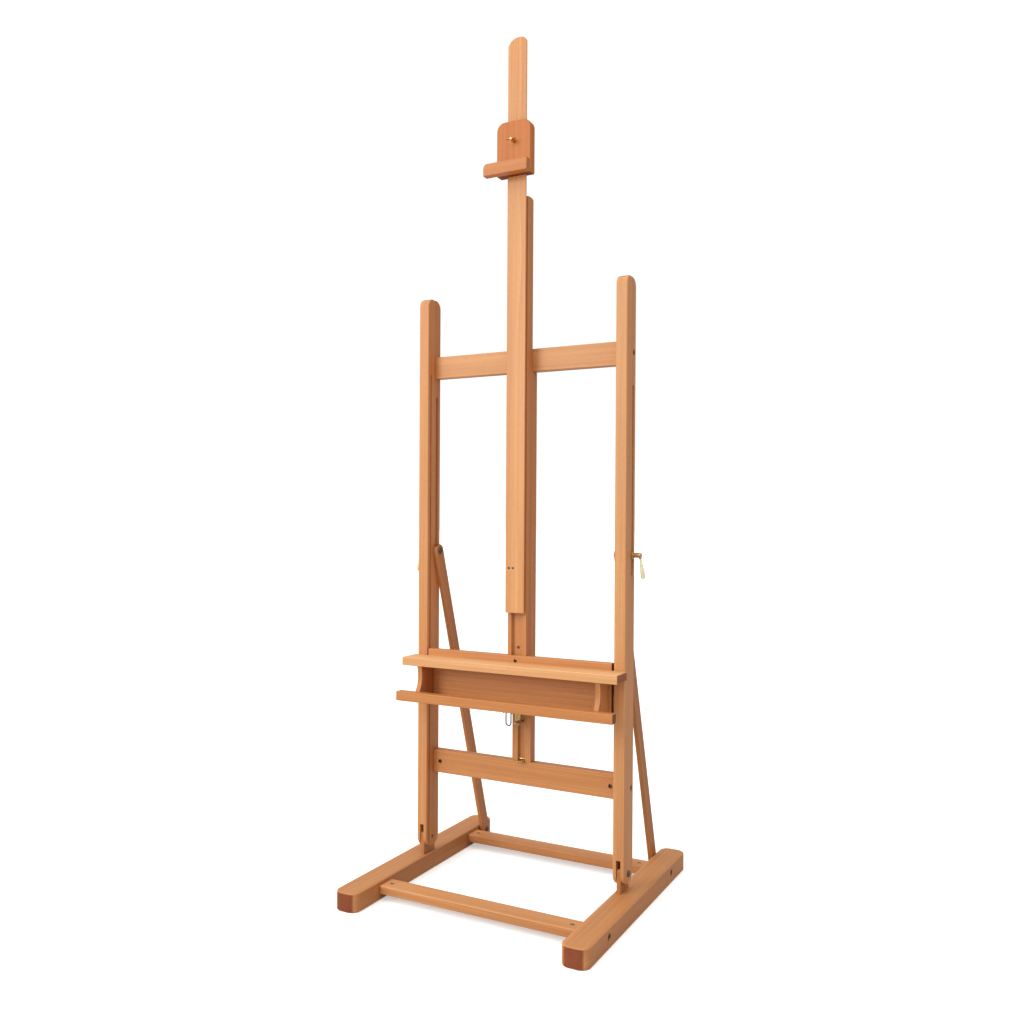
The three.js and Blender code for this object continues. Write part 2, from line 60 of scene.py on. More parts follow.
OFF_PLANE = math.radians(3)    # a face further than this from every drawn face belongs to a rounding


# ---------------------------------------------------------------- node trees
class Web:
    """A node tree with one short call for each kind of node; every call gives back the new node's output."""

    def __init__(self, tree):
        self.tree = tree

    def node(self, kind, inputs=(), **settings):
        made = self.tree.nodes.new(kind)
        for key, value in settings.items():
            setattr(made, key, value)
        for key, value in dict(inputs).items():
            self.feed(made.inputs[key], value)
        return made

    def feed(self, socket, value):
        if isinstance(value, bpy.types.NodeSocket):
            self.tree.links.new(value, socket)
        else:
            socket.default_value = value

    def math(self, operation, a, b=0.0, clamp=False):
        return self.node("ShaderNodeMath", {0: a, 1: b}, operation=operation, use_clamp=clamp).outputs[0]

    def vector(self, operation, a, b=None):
        made = self.node("ShaderNodeVectorMath", {0: a}, operation=operation)
        if b is not None:
            self.feed(made.inputs["Scale" if operation == "SCALE" else 1], b)
        return made.outputs["Value" if operation in ("DOT_PRODUCT", "LENGTH") else "Vector"]

    def noise(self, place, scale, detail=2.0, rough=0.5):
        return self.node("ShaderNodeTexNoise", {"Vector": place, "Scale": scale, "Detail": detail, "Roughness": rough})

    def between(self, value, low, high, to_low=0.0, to_high=1.0):
        """value from low to high as a smooth step from to_low to to_high."""
        return self.node("ShaderNodeMapRange", {"Value": value, "From Min": low, "From Max": high,
                                                "To Min": to_low, "To Max": to_high},
                         interpolation_type="SMOOTHSTEP").outputs["Result"]

    def mix(self, share, a, b, blend="MIX"):
        made = self.node("ShaderNodeMix", data_type="RGBA", blend_type=blend)
        for socket, value in ((made.inputs[0], share), (made.inputs[6], a), (made.inputs[7], b)):
            self.feed(socket, value)
        return made.outputs[2]


def new_group(name, inputs, outputs):
    """A shader node group with named inputs (name, kind, value) and outputs (name, kind)."""
    tree = bpy.data.node_groups.new(name, "ShaderNodeTree")
    for label, kind, value in inputs:
        socket = tree.interface.new_socket(label, in_out="INPUT", socket_type="NodeSocket" + kind)
        if value is not None:
            socket.default_value = value
    for label, kind in outputs:
        tree.interface.new_socket(label, in_out="OUTPUT", socket_type="NodeSocket" + kind)
    web = Web(tree)
    return tree, web, web.node("NodeGroupInput").outputs, web.node("NodeGroupOutput").inputs


def rgb(r, g, b):
    return (r, g, b, 1.0)


# What the board's colour is multiplied by in the late wood, the ray flecks, on side faces (partly the side grain's own
# colour, partly painted shade) and on sawn ends.
LATE_WOOD = (0.93, 0.85, 0.78)
RAY_FLECK = (0.66, 0.52, 0.44)
SIDE_GRAIN_AND_SHADE = (0.95, 0.80, 0.74)
END_GRAIN = (0.46, 0.25, 0.20)


def timber_group():
    """Beech in the round: growth rings about the piece's own pith, slow colour bands, fibre streaks and short dark
    ray flecks, all drawn out along Z. End grain, side faces and worn arrises come in as masks; the darker, redder
    tint on side faces is partly the side grain's own colour and partly painted shade."""
    tree, web, given, out = new_group(
        "beech_grain",
        [("Place", "Vector", None), ("End", "Float", 0.0), ("Side", "Float", 0.0), ("Arris", "Float", 0.0),
         ("Pale", "Color", rgb(0.7, 0.4, 0.2)), ("Deep", "Color", rgb(0.5, 0.25, 0.1)), ("Ring", "Float", 0.0034)],
        [("Color", "Color"), ("Roughness", "Float"), ("Height", "Float")])
    place = given["Place"]
    stretched = lambda across, along: web.vector("MULTIPLY", place, (across, across, along))
    # The rings waver slowly along the board.
    waver = web.noise(stretched(9.0, 1.1), 1.0, 2.0).outputs["Color"]
    waver = web.vector("MULTIPLY", web.vector("SUBTRACT", waver, (0.5, 0.5, 0.5)), (0.022, 0.022, 0.0))
    turned = web.vector("MULTIPLY", web.vector("ADD", place, waver), (1.0, 1.0, 0.0))
    ring = web.math("DIVIDE", web.vector("LENGTH", turned), given["Ring"])
    late = web.math("POWER", web.math("FRACT", ring), 2.5)
    year = web.node("ShaderNodeTexWhiteNoise", {"W": web.math("FLOOR", ring)}, noise_dimensions="1D").outputs["Value"]
    bands = web.noise(stretched(26.0, 0.8), 1.0, 3.0, 0.55).outputs["Fac"]
    streak = web.noise(stretched(360.0, 4.0), 1.0, 3.0, 0.6).outputs["Fac"]
    fibre = web.noise(stretched(1500.0, 34.0), 1.0, 2.0, 0.6).outputs["Fac"]
    cell = web.node("ShaderNodeTexVoronoi", {"Vector": stretched(430.0, 88.0), "Scale": 1.0}).outputs["Distance"]
    patch = web.noise(stretched(60.0, 9.0), 1.0, 1.0).outputs["Fac"]
    fleck = web.math("MULTIPLY", web.between(cell, 0.10, 0.30, 1.0, 0.0), web.between(patch, 0.35, 0.6))
    # Colour.
    share = web.math("ADD", web.between(bands, 0.30, 0.70, 0.0, 0.72), web.math("MULTIPLY", year, 0.28))
    colour = web.mix(share, given["Pale"], given["Deep"])
    colour = web.mix(late, colour, web.vector("MULTIPLY", colour, LATE_WOOD))
    colour = web.vector("SCALE", colour, web.between(streak, 0.25, 0.75, 0.92, 1.08))
    colour = web.mix(web.math("MULTIPLY", fleck, 0.5), colour, web.vector("MULTIPLY", colour, RAY_FLECK))
    # On faces along X the colour turns darker and redder: partly the side grain's own colour, partly painted shade.
    colour = web.mix(given["Side"], colour, web.vector("MULTIPLY", colour, SIDE_GRAIN_AND_SHADE))
    pores = web.noise(web.vector("MULTIPLY", place, (1100.0, 1100.0, 60.0)), 1.0, 1.0).outputs["Fac"]
    cut = web.vector("MULTIPLY", colour, END_GRAIN)
    cut = web.vector("SCALE", cut, web.math("SUBTRACT", web.between(pores, 0.3, 0.7, 0.86, 1.14),
                                            web.math("MULTIPLY", late, 0.22)))
    colour = web.mix(given["End"], colour, cut)
    colour = web.mix(web.math("MULTIPLY", given["Arris"], 0.26), colour, web.vector("SCALE", given["Pale"], 1.06))
    web.feed(out["Color"], colour)
    # Gloss and relief.
    rough = web.math("ADD", web.between(streak, 0.25, 0.75, 0.37, 0.50), web.math("MULTIPLY", given["End"], 0.20))
    web.feed(out["Roughness"], web.math("SUBTRACT", rough, web.math("MULTIPLY", given["Arris"], 0.05)))
    relief = web.math("ADD", web.math("MULTIPLY", streak, 0.5), web.math("MULTIPLY", fibre, 0.5))
    relief = web.math("SUBTRACT", relief, web.math("MULTIPLY", fleck, 0.5))
    web.feed(out["Height"], web.math("ADD", relief, web.math("MULTIPLY", late, 0.25)))
    return tree


def handled_metal_group():
    """Metal that has been handled: cloudy tarnish, fine turning scratches and a few dull spots."""
    tree, web, given, out = new_group(
        "handled_metal",
        [("Place", "Vector", None), ("Clean", "Color", rgb(0.8, 0.6, 0.3)), ("Tarnish", "Color", rgb(0.3, 0.2, 0.1)),
         ("Dullness", "Float", 0.4)],
        [("Color", "Color"), ("Roughness", "Float"), ("Height", "Float")])
    place = given["Place"]
    cloud = web.noise(place, 240.0, 4.0, 0.6).outputs["Fac"]
    spots = web.noise(place, 900.0, 2.0, 0.5).outputs["Fac"]
    lines = web.noise(web.vector("MULTIPLY", place, (300.0, 300.0, 5200.0)), 1.0, 2.0, 0.6).outputs["Fac"]
    share = web.math("MULTIPLY", web.between(cloud, 0.35, 0.68), given["Dullness"])
    share = web.math("ADD", share, web.between(spots, 0.62, 0.72, 0.0, 0.25), clamp=True)
    web.feed(out["Color"], web.mix(share, given["Clean"], given["Tarnish"]))
    web.feed(out["Roughness"], web.math("ADD", web.between(cloud, 0.3, 0.7, 0.24, 0.42),
                                        web.between(lines, 0.3, 0.7, -0.05, 0.07)))
    web.feed(out["Height"], web.math("ADD", web.math("MULTIPLY", lines, 0.6), web.math("MULTIPLY", spots, 0.4)))
    return tree


TIMBER = timber_group()
METAL = handled_metal_group()


def new_material(name):
    made = bpy.data.materials.new(name)
    made.use_nodes = True
    made.node_tree.nodes.clear()
    web = Web(made.node_tree)
    surface = web.node("ShaderNodeBsdfPrincipled")
    web.feed(web.node("ShaderNodeOutputMaterial").inputs["Surface"], surface.outputs[0])
    return made, web, surface.inputs


def finish_surface(web, surface, group, depth, strength):
    """The group's colour, gloss and relief go to the surface."""
    web.feed(surface["Base Color"], group.outputs["Color"])
    web.feed(surface["Roughness"], group.outputs["Roughness"])
    bump = web.node("ShaderNodeBump", {"Height": group.outputs["Height"], "Distance": depth, "Strength": strength})
    web.feed(surface["Normal"], bump.outputs[0])


PALE = np.array([0.70, 0.340, 0.132])   # the palest and the deepest colour of oiled beech
DEEP = np.array([0.54, 0.228, 0.078])
LEAN = math.atan2(246.0, 773.0)         # how far the struts lean forward
# For each way the grain can run: the turn that brings it upright, and its direction.
GRAIN = {
    "up": ((0, 0, 0), (0, 0, 1)),
    "across": ((0, -math.pi / 2, 0), (1, 0, 0)),
    "deep": ((math.pi / 2, 0, 0), (0, 1, 0)),
    "leaning": ((-LEAN, 0, 0), (0, -math.sin(LEAN), math.cos(LEAN))),
}


def oiled_beech(name, grain, tone=1.0, red=0.0, pith=(0.07, 0.05), shift=0.0, ring=0.0034, side=0.55,
                end=1.0):
    """One board's finish: where its pith ran, how deep its tone is and how red (for some boards partly painted light),
    and how much its side faces take the side tint, which is partly painted shade.
    """
    made, web, surface = new_material(name)
    turn, way = GRAIN[grain]
    seen = web.node("ShaderNodeTexCoord").outputs
    place = web.node("ShaderNodeMapping", {"Vector": seen["Object"], "Location": (pith[0], pith[1], shift),
                                           "Rotation": turn}).outputs[0]
    facing = lambda axis, low, high, most: web.between(
        web.math("ABSOLUTE", web.vector("DOT_PRODUCT", seen["Normal"], axis)), low, high, 0.0, most)
    group = web.node("ShaderNodeGroup", node_tree=TIMBER)
    tint = np.array([1.0, 1.0 - red, 1.0 - 2.1 * red])
    web.feed(group.inputs["Place"], place)
    web.feed(group.inputs["End"], facing(way, 0.72, 0.93, end))
    # The side mask picks the faces that point along X, the sides the light misses; their tint is partly side-grain
    # colour, partly painted shade.
    web.feed(group.inputs["Side"], facing((1, 0, 0), 0.6, 0.92, 0.0 if grain == "across" else side))
    web.feed(group.inputs["Arris"], web.node("ShaderNodeAttribute", attribute_name="arris").outputs["Fac"])
    web.feed(group.inputs["Pale"], rgb(*(PALE * tone * tint)))
    web.feed(group.inputs["Deep"], rgb(*(DEEP * tone * tint)))
    web.feed(group.inputs["Ring"], ring)
    finish_surface(web, surface, group, 0.0002, 0.35)
    surface["IOR"].default_value = 1.46
    surface["Specular IOR Level"].default_value = 0.42
    return made


def handled_metal(name, clean, tarnish, dullness):
    made, web, surface = new_material(name)
    group = web.node("ShaderNodeGroup", node_tree=METAL)
    web.feed(group.inputs["Place"], web.node("ShaderNodeTexCoord").outputs["Object"])
    web.feed(group.inputs["Clean"], rgb(*clean))
    web.feed(group.inputs["Tarnish"], rgb(*tarnish))
    web.feed(group.inputs["Dullness"], dullness)
    finish_surface(web, surface, group, 0.00008, 0.3)
    surface["Metallic"].default_value = 1.0
    return made


def horn_finish():
    """Cast resin the colour of horn: creamy, faintly clouded along its length, with a soft polish."""
    made, web, surface = new_material("horn_resin")
    place = web.node("ShaderNodeTexCoord").outputs["Object"]
    cloud = web.noise(web.vector("MULTIPLY", place, (160.0, 160.0, 38.0)), 1.0, 3.0, 0.55).outputs["Fac"]
    dust = web.noise(place, 2100.0, 2.0).outputs["Fac"]
    cream, tan = rgb(0.86, 0.80, 0.56), rgb(0.74, 0.64, 0.38)
    web.feed(surface["Base Color"], web.mix(web.between(cloud, 0.3, 0.7), cream, tan))
    web.feed(surface["Roughness"], web.between(dust, 0.3, 0.7, 0.22, 0.36))
    bump = web.node("ShaderNodeBump", {"Height": dust, "Distance": 0.00004, "Strength": 0.2})
    web.feed(surface["Normal"], bump.outputs[0])
    surface["Coat Weight"].default_value = 0.25
    surface["Coat Roughness"].default_value = 0.2
    return made


BRASS = handled_metal("aged_brass", (0.72, 0.50, 0.22), (0.34, 0.20, 0.08), 0.75)
STEEL = handled_metal("burnished_steel", (0.21, 0.165, 0.13), (0.07, 0.05, 0.036), 0.8)
BRONZE = handled_metal("brown_bronze_wire", (0.13, 0.075, 0.045), (0.05, 0.028, 0.018), 0.8)
HORN = horn_finish()


# ---------------------------------------------------------------- putting pieces in place
def linked(name, data):
    """A new object in the scene that holds the data."""
    made = bpy.data.objects.new(name, data)
    bpy.context.scene.collection.objects.link(made)
    return made


def own_piece(name, mesh, node, material, slot, *stands_for):
    """Links a finished mesh as a piece that moves with the node's body and stands for the given nodes."""
    piece = linked(name, mesh)
    mesh.materials.clear()
    mesh.materials.append(material)
    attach(piece, BODY_OF[node])
    if stands_for:
        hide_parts(*stands_for)
    return piece


def shade_smooth(mesh):
    mesh.polygons.foreach_set("use_smooth", np.ones(len(mesh.polygons), bool))


def mesh_of(name, points, faces):
    """A smooth mesh with its faces turned outwards, from points in metres."""
    mesh = bpy.data.meshes.new(name)
    mesh.from_pydata([tuple(p) for p in points], [], [tuple(int(i) for i in f) for f in faces])
    shape = bmesh.new()
    shape.from_mesh(mesh)
    if shape.calc_volume(signed=True) < 0:
        bmesh.ops.reverse_faces(shape, faces=shape.faces)
    shape.normal_update()
    for edge in shape.edges:
        edge.smooth = edge.calc_face_angle(0.0) < SHARP_FROM
    shape.to_mesh(mesh)
    shape.free()
    shade_smooth(mesh)
    return mesh


def weighted(mesh, name):
    """The mesh with normals led by its larger faces, so that flats stay flat and arrises turn softly."""
    holder = linked(name, mesh)
    fix = holder.modifiers.new("normals", "WEIGHTED_NORMAL")
    fix.weight = 100
    fix.keep_sharp = True
    return applied(holder, name)


def applied(holder, name):
    """The object's mesh with its modifiers taken in; the object itself goes."""
    bpy.context.view_layer.update()
    graph = bpy.context.evaluated_depsgraph_get()
    out = bpy.data.meshes.new_from_object(holder.evaluated_get(graph), preserve_all_data_layers=True, depsgraph=graph)
    out.name = name
    old = holder.data
    bpy.data.objects.remove(holder)
    bpy.data.meshes.remove(old)
    return out


def rounded_over(mesh, node, outer, steps, slide, split):
    """A copy of the mesh with its weighted edges rounded to outer (mm). slide lets the rounding slide along the
    edges beside it, and split cuts faces with inward corners into plain ones afterwards."""
    holder = linked(node + "_drawn", mesh.copy())
    bevel = holder.modifiers.new("arris", "BEVEL")
    bevel.width = outer * MM
    bevel.limit_method = "WEIGHT"
    bevel.segments = steps
    bevel.use_clamp_overlap = False
    bevel.loop_slide = slide
    made = applied(holder, node + "_rounded")
    if split:
        shape = bmesh.new()
        shape.from_mesh(made)
        bmesh.ops.connect_verts_concave(shape, faces=shape.faces)
        shape.to_mesh(made)
        shape.free()
    return made


def folded_faces(mesh):
    """How many of the mesh's triangles point away from the face that they fill."""
    mesh.calc_loop_triangles()
    return sum(1 for t in mesh.loop_triangles
               if t.area > 1e-10 and t.normal.dot(mesh.polygons[t.polygon_index].normal) < 0)


def eased(node, material, slot="beech", outer=2.2, inner=0.5, steps=3):
    """The node's own shape with its arrises rounded over: outer (mm) on those that stand on the piece's outside,
    inner on the edges of holes, grooves and housings. The attribute arris is 1 on the rounding and 0 on the flats."""
    shape = bmesh.new()
    shape.from_mesh(NODES[node].data)
    bmesh.ops.remove_doubles(shape, verts=shape.verts, dist=MERGE_WITHIN)
    bmesh.ops.dissolve_limit(shape, angle_limit=STILL_FLAT, verts=shape.verts, edges=shape.edges)
    shape.normal_update()
    shape.faces.ensure_lookup_table()
    points = np.array([v.co[:] for v in shape.verts])
    normals = np.array([f.normal[:] for f in shape.faces])
    level = np.array([f.normal.dot(f.verts[0].co) for f in shape.faces])
    outside = (normals @ points.T).max(1) - level < LEVEL_WITHIN
    weight = shape.edges.layers.float.new("bevel_weight_edge")
    long_edge = 15 * MM
    for edge in shape.edges:
        if len(edge.link_faces) != 2 or edge.calc_face_angle() <= ROUNDED_FROM:
            continue
        if edge.is_convex:
            a, b = (f.index for f in edge.link_faces)
            if outside[a] and outside[b]:
                edge[weight] = 1.0
            elif outside[a] or outside[b] or edge.calc_length() > long_edge:
                edge[weight] = inner / outer
        if edge[weight] == 0.0:
            edge.smooth = False
    mesh = bpy.data.meshes.new(node + "_drawn")
    shape.to_mesh(mesh)
    shape.free()
    shade_smooth(mesh)
    # A thin face beside a hole may fold over, so of four ways to round the piece the one that folds fewest is kept.
    tries = [rounded_over(mesh, node, outer, steps, slide, split)
             for split in (False, True) for slide in (True, False)]
    made = weighted(min(tries, key=folded_faces), node + "_board")
    # A face that doesn't lie in one of the drawn planes belongs to a rounding.
    count = len(made.polygons)
    facing = np.empty(count * 3)
    made.polygons.foreach_get("normal", facing)
    flat = (facing.reshape(-1, 3) @ normals.T).max(1) > math.cos(OFF_PLANE)
    loops = np.empty(len(made.loops), int)
    made.loops.foreach_get("vertex_index", loops)
    totals = np.empty(count, int)
    made.polygons.foreach_get("loop_total", totals)
    mask = np.ones(len(made.vertices))
    mask[loops[np.repeat(flat, totals)]] = 0.0
    layer = made.attributes.new("arris", "FLOAT", "POINT")
    layer.data.foreach_set("value", mask.astype(np.float32))
    return own_piece(node + "_eased", made, node, material, slot, node)


def profile_rows(profile):
    """A profile as rows of distance along the axis, radius, and 1 where the ring is six-sided, else 0."""
    return np.array([(*row, 0.0)[:3] for row in profile], float)


def softened(profile, cut, steps=3):
    """A profile with its corners cut back by cut (mm) and turned with a quadratic curve between the cuts."""
    rows = profile_rows(profile)
    before, here, after = rows[:-2], rows[1:-1], rows[2:]
    def towards(other):
        step = other - here
        length = np.maximum(np.hypot(step[:, 0], step[:, 1]), 1e-9)[:, None]
        return here + step * np.minimum(cut / length, 0.45)
    a, b = towards(before), towards(after)
    t = np.linspace(0, 1, steps + 1)[None, :, None]
    bend = (1 - t) ** 2 * a[:, None] + 2 * t * (1 - t) * here[:, None] + t ** 2 * b[:, None]
    return np.vstack([rows[:1], bend.reshape(-1, 3), rows[-1:]])


def ring_faces(count, sides):
    """The faces over count rings of sides points each: a quad between each pair of neighbours on two rings, and a
    fan from each end ring to its pole. The two poles are the last two points."""
    k, j = np.meshgrid(np.arange(count - 1), np.arange(sides), indexing="ij")
    n = (j + 1) % sides
    quads = np.stack([k * sides + j, k * sides + n, (k + 1) * sides + n, (k + 1) * sides + j], -1).reshape(-1, 4)
    j = np.arange(sides)
    n = (j + 1) % sides
    pole, last = count * sides, (count - 1) * sides
    start = np.stack([np.full(sides, pole), n, j], -1)
    end = np.stack([np.full(sides, pole + 1), last + j, last + n], -1)
    return [*quads.tolist(), *start.tolist(), *end.tolist()]


def turned(profile, origin, axis, sides=40, sink=None):
    """A turned surface. Ring k at angle a lies at origin + axis * along_k + radius_k * (u cos a + v sin a). Where a
    ring's third number is 1 its reach follows a hexagon instead. sink(x, y, k) lowers points along the axis, for
    recesses in a head. The first and last rows are on the axis. Gives (points, faces)."""
    rows = profile_rows(profile)
    along, radius, six = rows[1:-1, 0] * MM, rows[1:-1, 1] * MM, rows[1:-1, 2]
    axis = np.array(axis, float) / np.linalg.norm(axis)
    u = np.cross(axis, (0.0, 0.0, 1.0) if abs(axis[2]) < 0.8 else (0.0, 1.0, 0.0))
    u /= np.linalg.norm(u)
    v = np.cross(axis, u)
    a = 2 * np.pi * np.arange(sides) / sides
    hexagon = math.cos(math.pi / 6) / np.cos(a % (math.pi / 3) - math.pi / 6)
    reach = radius[:, None] * (1 - six[:, None] + six[:, None] * hexagon)
    x, y = reach * np.cos(a), reach * np.sin(a)
    depth = along[:, None] + np.zeros_like(x)
    if sink is not None:
        depth = depth - sink(x / MM, y / MM, np.arange(len(along))[:, None]) * MM
    origin = np.array(origin, float)
    rings = origin + depth[..., None] * axis + x[..., None] * u + y[..., None] * v
    count = len(along)
    first, last = origin + axis * rows[0, 0] * MM, origin + axis * rows[-1, 0] * MM
    points = np.vstack([rings.reshape(-1, 3), first, last])
    return points, ring_faces(count, sides)


def swept(path, radius, side_way, sides=16):
    """A round wire: around each point of the path a circle in the plane of side_way and (tangent x side_way); the
    ends close with domes whose rings shrink as a quarter circle. Gives (points, faces)."""
    path = np.array(path, float)
    tangent = np.gradient(path, axis=0)
    tangent /= np.linalg.norm(tangent, axis=1)[:, None]
    turn = np.linspace(0, np.pi / 2, 5)[1:-1]
    def dome(at, way):
        return at + way * radius * np.sin(turn)[:, None]
    path = np.vstack([dome(path[0], -tangent[0])[::-1], path, dome(path[-1], tangent[-1])])
    shrink = np.concatenate([np.cos(turn)[::-1], np.ones(len(tangent)), np.cos(turn)])
    tangent = np.vstack([np.repeat(tangent[:1], len(turn), 0), tangent, np.repeat(tangent[-1:], len(turn), 0)])
    side_way = np.array(side_way, float)
    third = np.cross(tangent, side_way)
    a = 2 * np.pi * np.arange(sides) / sides
    rings = path[:, None] + radius * shrink[:, None, None] * (
        np.cos(a)[None, :, None] * side_way + np.sin(a)[None, :, None] * third[:, None])
    count = len(path)
    ends = np.vstack([path[0] - tangent[0] * radius * 0.03, path[-1] + tangent[-1] * radius * 0.03])
    points = np.vstack([rings.reshape(-1, 3), ends])
    return points, ring_faces(count, sides)


def hardware(name, shape, node, material, slot, *stands_for):
    """A piece from (points, faces) that moves with the node's body and stands for the given nodes."""
    mesh = weighted(mesh_of(name + "_drawn", *shape), name + "_mesh")
    return own_piece(name, mesh, node, material, slot, *stands_for)


# ---------------------------------------------------------------- the boards
BOARDS = [
    # node, grain, tone, red, pith, ring, outer easing
    ("post_left", "up", 0.97, 0.04, (0.330, 0.060), 0.0036, 2.4),
    ("post_right", "up", 0.99, -0.03, (-0.190, 0.075), 0.0033, 2.4),
    ("centre_stile", "up", 0.90, 0.06, (0.040, 0.070), 0.0030, 1.6),
    # The column's deeper, redder tone is painted shade: it stands in for the shadow the tray casts on it.
    ("column", "up", 0.87, 0.10, (0.055, 0.080), 0.0035, 1.6),
    ("mast", "up", 1.06, -0.02, (-0.035, 0.110), 0.0040, 1.5),
    ("tongue_left", "up", 0.76, 0.10, (0.290, 0.050), 0.0030, 1.6),
    ("tongue_right", "up", 0.76, 0.10, (-0.230, 0.050), 0.0030, 1.6),
    ("top_holder_block", "up", 0.85, 0.33, (0.020, 0.120), 0.0042, 2.2),
    ("tray_cheek_left", "up", 0.84, 0.12, (0.300, 0.110), 0.0036, 1.4),
    ("tray_cheek_right", "up", 0.84, 0.12, (-0.180, 0.110), 0.0036, 1.4),
    ("crossbar_front", "across", 0.95, 0.01, (0.055, 0.260), 0.0034, 2.4),
    ("crossbar_rear", "across", 0.92, 0.06, (0.060, -0.150), 0.0034, 2.4),
    ("lower_rail", "across", 0.92, 0.08, (-0.200, 0.090), 0.0038, 2.0),
    ("upper_rail", "across", 1.02, -0.02, (-1.190, 0.080), 0.0036, 2.0),
    # The ledge's paler, less red tone is partly its own wood and partly a painted sheen, since the lamps give it little
    # real gloss at this height.
    ("canvas_ledge", "across", 1.22, -0.17, (-0.480, 0.140), 0.0030, 1.8),
    ("slider_board", "across", 0.93, 0.03, (-0.440, 0.120), 0.0042, 1.6),
    ("tray_floor", "across", 0.88, 0.12, (-0.360, 0.070), 0.0036, 1.2),
    ("tray_lip", "across", 0.84, 0.16, (-0.410, 0.170), 0.0034, 1.8),
    ("top_holder_lip", "across", 0.88, 0.22, (-1.630, 0.130), 0.0034, 2.2),
    ("runner_left", "deep", 0.86, 0.04, (0.340, 0.090), 0.0044, 3.0),
    ("runner_right", "deep", 0.94, 0.01, (-0.210, 0.100), 0.0044, 3.0),
    ("strut_left", "leaning", 0.88, 0.08, (0.290, -0.100), 0.0034, 2.0),
    ("strut_right", "leaning", 0.70, 0.14, (-0.200, -0.110), 0.0034, 2.0),
]
# Boards whose side faces get none of the painted side shade, or whose sawn ends are paler than the rest.
PALER = {"top_holder_block": {"side": 0.0}, "top_holder_lip": {"end": 0.3}}
for order, (node, grain, tone, red, pith, ring, outer) in enumerate(BOARDS):
    finish = oiled_beech(f"oiled_beech_{node}", grain, tone, red, pith, 0.37 * order, ring, **PALER.get(node, {}))
    # The grooves and slots of the posts are left crisp: their long thin faces don't take a rounding.
    eased(node, finish, outer=outer, inner=0.0 if node.startswith("post_") else 0.5)

# ---------------------------------------------------------------- bolts and nuts
SOCKET = 3.0   # half the width of a bolt's six-sided socket, at its corners
SHANK = 4.0    # radius of a bolt


def middle(node):
    low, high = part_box(node)
    return (np.array(low) + np.array(high)) / 2


def outer_face(node, side):
    """Where the node's face on that side lies along X."""
    low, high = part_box(node)
    return high.x if side > 0 else low.x


def bolt(node, side, profile, cut=0.5):
    """A bolt along X whose outermost face is the profile's largest distance; side is the way its head points."""
    seat = outer_face(node, side) - side * max(row[0] for row in profile) * MM
    _, y, z = middle(node)
    shape = turned(softened(profile, cut), (seat, y, z), (side, 0, 0), 36)
    hardware(node + "_turned", shape, node, STEEL, "steel", node)


def capped(tip, head, height):
    """Profile of a bolt with a flat round head and a six-sided socket, from the shank's tip to the socket's floor."""
    return [(tip, 0), (tip + 0.8, SHANK - 0.8), (tip + 1.6, SHANK), (0, SHANK), (0, head), (height - 1.0, head),
            (height, head - 1.2), (height, SOCKET, 1), (height - 2.6, SOCKET, 1), (height - 2.9, 0)]


for name, side in SIDES:
    for place in ("front", "rear"):
        bolt(f"crossbar_bolt_{place}_{name}", side, capped(-71, 7.0, 4.2))
    for place in ("lower", "upper"):
        bolt(f"{place}_rail_bolt_{name}", side, capped(-48, 6.4, 3.4))
    bolt(f"post_pivot_bolt_{name}", side,
         [(-26, 0), (-26, SHANK), (0.3, SHANK), (0.3, 7.5), (1.6, 7.5), (3.1, 6.2), (4, 3.6),
          (4, 2.5, 1), (2, 2.5, 1), (1.8, 0)])
    bolt(f"strut_foot_bolt_{name}", -side,
         [(-44, 0), (-44, SHANK), (0.3, SHANK), (0.3, 7.5), (1.9, 7.5), (3.3, 6.0), (4.1, 3.6),
          (4.3, 2.4, 1), (2.4, 2.4, 1), (2.2, 0)])
    bolt(f"strut_head_bolt_{name}", -side,
         [(-10.9, 0), (-10.9, SHANK), (0.3, SHANK), (0.3, 9), (2, 8.5), (3.6, 6.9), (4.9, 4.4),
          (5.3, 2.6, 1), (3.2, 2.6, 1), (3, 0)])
    bolt(f"clamp_shank_{name}", side, [(0.2, 0), (0.2, 3.6), (0.8, SHANK), (38, SHANK), (39, 3.4), (39, 0)], 0.2)


def cross_nut(node, axis, length, radius=5.0):
    """A barrel nut with a driver slot across its upper end: the slot's floor is level and its walls slope a little."""
    half, edge, slot_deep, slot_half, wall = length / 2, 0.6, 1.3, 0.95, 0.3
    rings = [(-half, 0), (-half, radius - edge), (-half + edge, radius), (half - edge, radius)]
    rings += [(half, r) for r in np.linspace(radius - edge, 0.4, 14)] + [(half - 1.2, 0)]
    def slot(x, y, k):
        return np.where(k > 2, np.clip((slot_half - np.abs(y)) / wall, 0, 1) * slot_deep, 0.0)
    return turned(rings, middle(node), axis, 48, slot)


for name, side in SIDES:
    for place in ("front", "rear"):
        node = f"crossbar_nut_{place}_{name}"
        hardware(node + "_turned", cross_nut(node, (0, 0, 1), 18.0), node, STEEL, "steel", node)
    node = f"lower_rail_nut_{name}"
    hardware(node + "_turned", cross_nut(node, (0, -1, 0), 15.8), node, STEEL, "steel", node)


